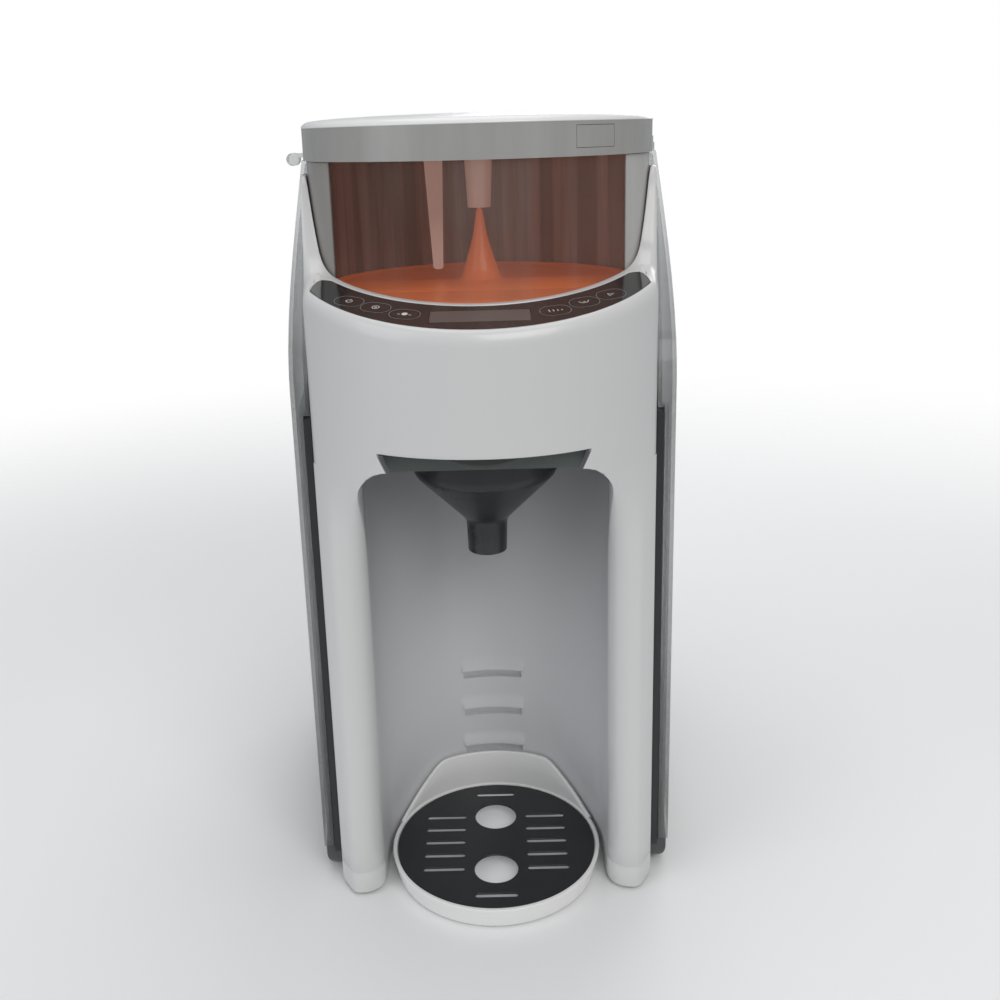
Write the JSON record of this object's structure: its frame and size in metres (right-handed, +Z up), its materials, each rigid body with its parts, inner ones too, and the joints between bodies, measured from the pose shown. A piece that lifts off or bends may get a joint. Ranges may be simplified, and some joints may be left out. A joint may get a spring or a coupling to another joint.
{
  "type": "baby formula maker",
  "caption": "Countertop formula maker: round powder drum over a bottle bay, wrap-round clear water tank, sliding funnel and a height-set drip stand.",
  "frame": {"origin": "on the counter, at the middle of the machine's width and depth", "axes": "+Z up, the front faces -Y, +X to the viewer's right when seen from the front"},
  "size_m": [0.229, 0.338, 0.4195],
  "materials": {
    "casing_white": "smooth semi-gloss",
    "liner_grey": "smooth satin",
    "housing_dark": "fine satin",
    "base_grey": "satin, slightly smoky",
    "rubber_black": "matt",
    "steel": "plain",
    "panel_black": "high gloss",
    "key_black": "gloss",
    "window_dark": "gloss",
    "board_green": "satin",
    "drum_smoke": "smoky clear plastic",
    "wheel_orange": "satin",
    "wheel_white": "satin",
    "lid_white": "semi-gloss",
    "lid_grey": "clear grey",
    "inner_white": "satin",
    "funnel_smoke": "smoky clear plastic",
    "stand_white": "semi-gloss",
    "grille_black": "satin",
    "tank_clear": "clear plastic",
    "tank_lid_clear": "clear plastic",
    "valve_red": "satin",
    "float_orange": "satin",
    "motor_metal": "plain",
    "pump_black": "satin",
    "heater_metal": "cast",
    "tube_silicone": "milky",
    "gear_cream": "satin"
  },
  "bodies": {
    "machine": {"front_casing": "casing_white", "bay_liner": "liner_grey", "rear_housing": "housing_dark", "base_housing": "base_grey", "base_plate": "base_grey", "rubber_feet": "rubber_black", "base_screws": "steel", "control_panel": "panel_black", "display_window": "window_dark", "display_module": "window_dark", "panel_board": "board_green", "drum_deck": "inner_white", "gear_motor": "motor_metal", "powder_chute": "inner_white", "tank_socket": "inner_white", "water_pump": "pump_black", "heater_block": "heater_metal", "heater_clamp": "steel", "suction_tube": "tube_silicone", "pump_tube": "tube_silicone", "hot_tube": "tube_silicone", "water_nozzle": "inner_white", "inner_chassis": "inner_white", "main_board": "board_green", "power_board": "board_green", "drum_switch": "pump_black", "cord_gland": "rubber_black"},
    "power_key": {"power_key": "key_black"},
    "heat_key": {"heat_key": "key_black"},
    "info_key": {"info_key": "key_black"},
    "volume_key": {"volume_key": "key_black"},
    "powder_key": {"powder_key": "key_black"},
    "start_key": {"start_key": "key_black"},
    "drum": {"powder_drum": "drum_smoke", "drum_base": "inner_white", "powder_outlet": "inner_white"},
    "lid": {"lid_top": "lid_white", "lid_band": "lid_grey", "lid_hub": "lid_grey"},
    "latch": {"lid_latch": "lid_grey"},
    "wheels": {"powder_wheel": "wheel_white", "stir_wheel": "wheel_orange"},
    "drive": {"drive_shaft": "steel", "drive_gear": "gear_cream"},
    "pinion": {"motor_pinion": "steel"},
    "funnel_slide": {"funnel_plate": "funnel_smoke", "funnel": "funnel_smoke"},
    "stand": {"bottle_stand": "stand_white"},
    "dish": {"drip_dish": "stand_white"},
    "grille": {"drip_grille": "grille_black"},
    "tank": {"water_tank": "tank_clear", "tank_arm_right": "tank_clear", "tank_arm_left": "tank_clear", "valve_body": "inner_white", "valve_spring": "steel"},
    "tank_lid": {"tank_lid": "tank_lid_clear"},
    "valve": {"valve_poppet": "valve_red", "valve_seal": "rubber_black"},
    "tank_float": {"tank_float": "float_orange"}
  },
  "joints": [
    {"name": "power_key_press", "type": "slide", "parent": "machine", "child": "power_key", "axis": [0, 0.2588, -0.9659], "range_m": [0, 0.0006], "stiffness_N_per_m": 1500},
    {"name": "heat_key_press", "type": "slide", "parent": "machine", "child": "heat_key", "axis": [0, 0.2588, -0.9659], "range_m": [0, 0.0006], "stiffness_N_per_m": 1500},
    {"name": "info_key_press", "type": "slide", "parent": "machine", "child": "info_key", "axis": [0, 0.2588, -0.9659], "range_m": [0, 0.0006], "stiffness_N_per_m": 1500},
    {"name": "volume_key_press", "type": "slide", "parent": "machine", "child": "volume_key", "axis": [0, 0.2588, -0.9659], "range_m": [0, 0.0006], "stiffness_N_per_m": 1500},
    {"name": "powder_key_press", "type": "slide", "parent": "machine", "child": "powder_key", "axis": [0, 0.2588, -0.9659], "range_m": [0, 0.0006], "stiffness_N_per_m": 1500},
    {"name": "start_key_press", "type": "slide", "parent": "machine", "child": "start_key", "axis": [0, 0.2588, -0.9659], "range_m": [0, 0.0006], "stiffness_N_per_m": 1500},
    {"name": "drum_lift", "type": "slide", "parent": "machine", "child": "drum", "axis": [0, 0, 1], "range_m": [0, 0.13]},
    {"name": "lid_lift", "type": "slide", "parent": "drum", "child": "lid", "axis": [0, 0, 1], "range_m": [0, 0.09]},
    {"name": "lid_latch_press", "type": "slide", "parent": "lid", "child": "latch", "axis": [-0.6157, 0.788, 0], "range_m": [0, 0.0006], "stiffness_N_per_m": 1500},
    {"name": "wheel_spin", "type": "hinge", "parent": "drum", "child": "wheels", "pos_m": [0, -0.044, 0.32], "axis": [0, 0, 1], "continuous": true},
    {"name": "drive_spin", "type": "hinge", "parent": "machine", "child": "drive", "pos_m": [0, -0.044, 0.287], "axis": [0, 0, 1], "continuous": true},
    {"name": "pinion_spin", "type": "hinge", "parent": "machine", "child": "pinion", "pos_m": [0, -0.00775, 0.287], "axis": [0, 0, 1], "continuous": true},
    {"name": "funnel_pull", "type": "slide", "parent": "machine", "child": "funnel_slide", "axis": [0, -1, 0], "range_m": [0, 0.098]},
    {"name": "stand_height", "type": "slide", "parent": "machine", "child": "stand", "axis": [0, 0, 1], "range_m": [0, 0.0765]},
    {"name": "dish_lift", "type": "slide", "parent": "stand", "child": "dish", "axis": [0, 0, 1], "range_m": [0, 0.06]},
    {"name": "grille_lift", "type": "slide", "parent": "dish", "child": "grille", "axis": [0, 0, 1], "range_m": [0, 0.04]},
    {"name": "tank_lift", "type": "slide", "parent": "machine", "child": "tank", "axis": [0, 0, 1], "range_m": [0, 0.41]},
    {"name": "tank_lid_lift", "type": "slide", "parent": "tank", "child": "tank_lid", "axis": [0, 0, 1], "range_m": [0, 0.06]},
    {"name": "valve_open", "type": "slide", "parent": "tank", "child": "valve", "axis": [0, 0, 1], "range_m": [0, 0.0025], "stiffness_N_per_m": 600, "springref_m": -0.003, "deforming": ["valve_spring"]},
    {"name": "float_rise", "type": "slide", "parent": "tank", "child": "tank_float", "axis": [0, 0, 1], "range_m": [0, 0.024]}
  ],
  "couplings": [
    {"joint": "drive_spin", "follows": "wheel_spin", "ratio": 1},
    {"joint": "pinion_spin", "follows": "wheel_spin", "ratio": -3.1429}
  ]
}
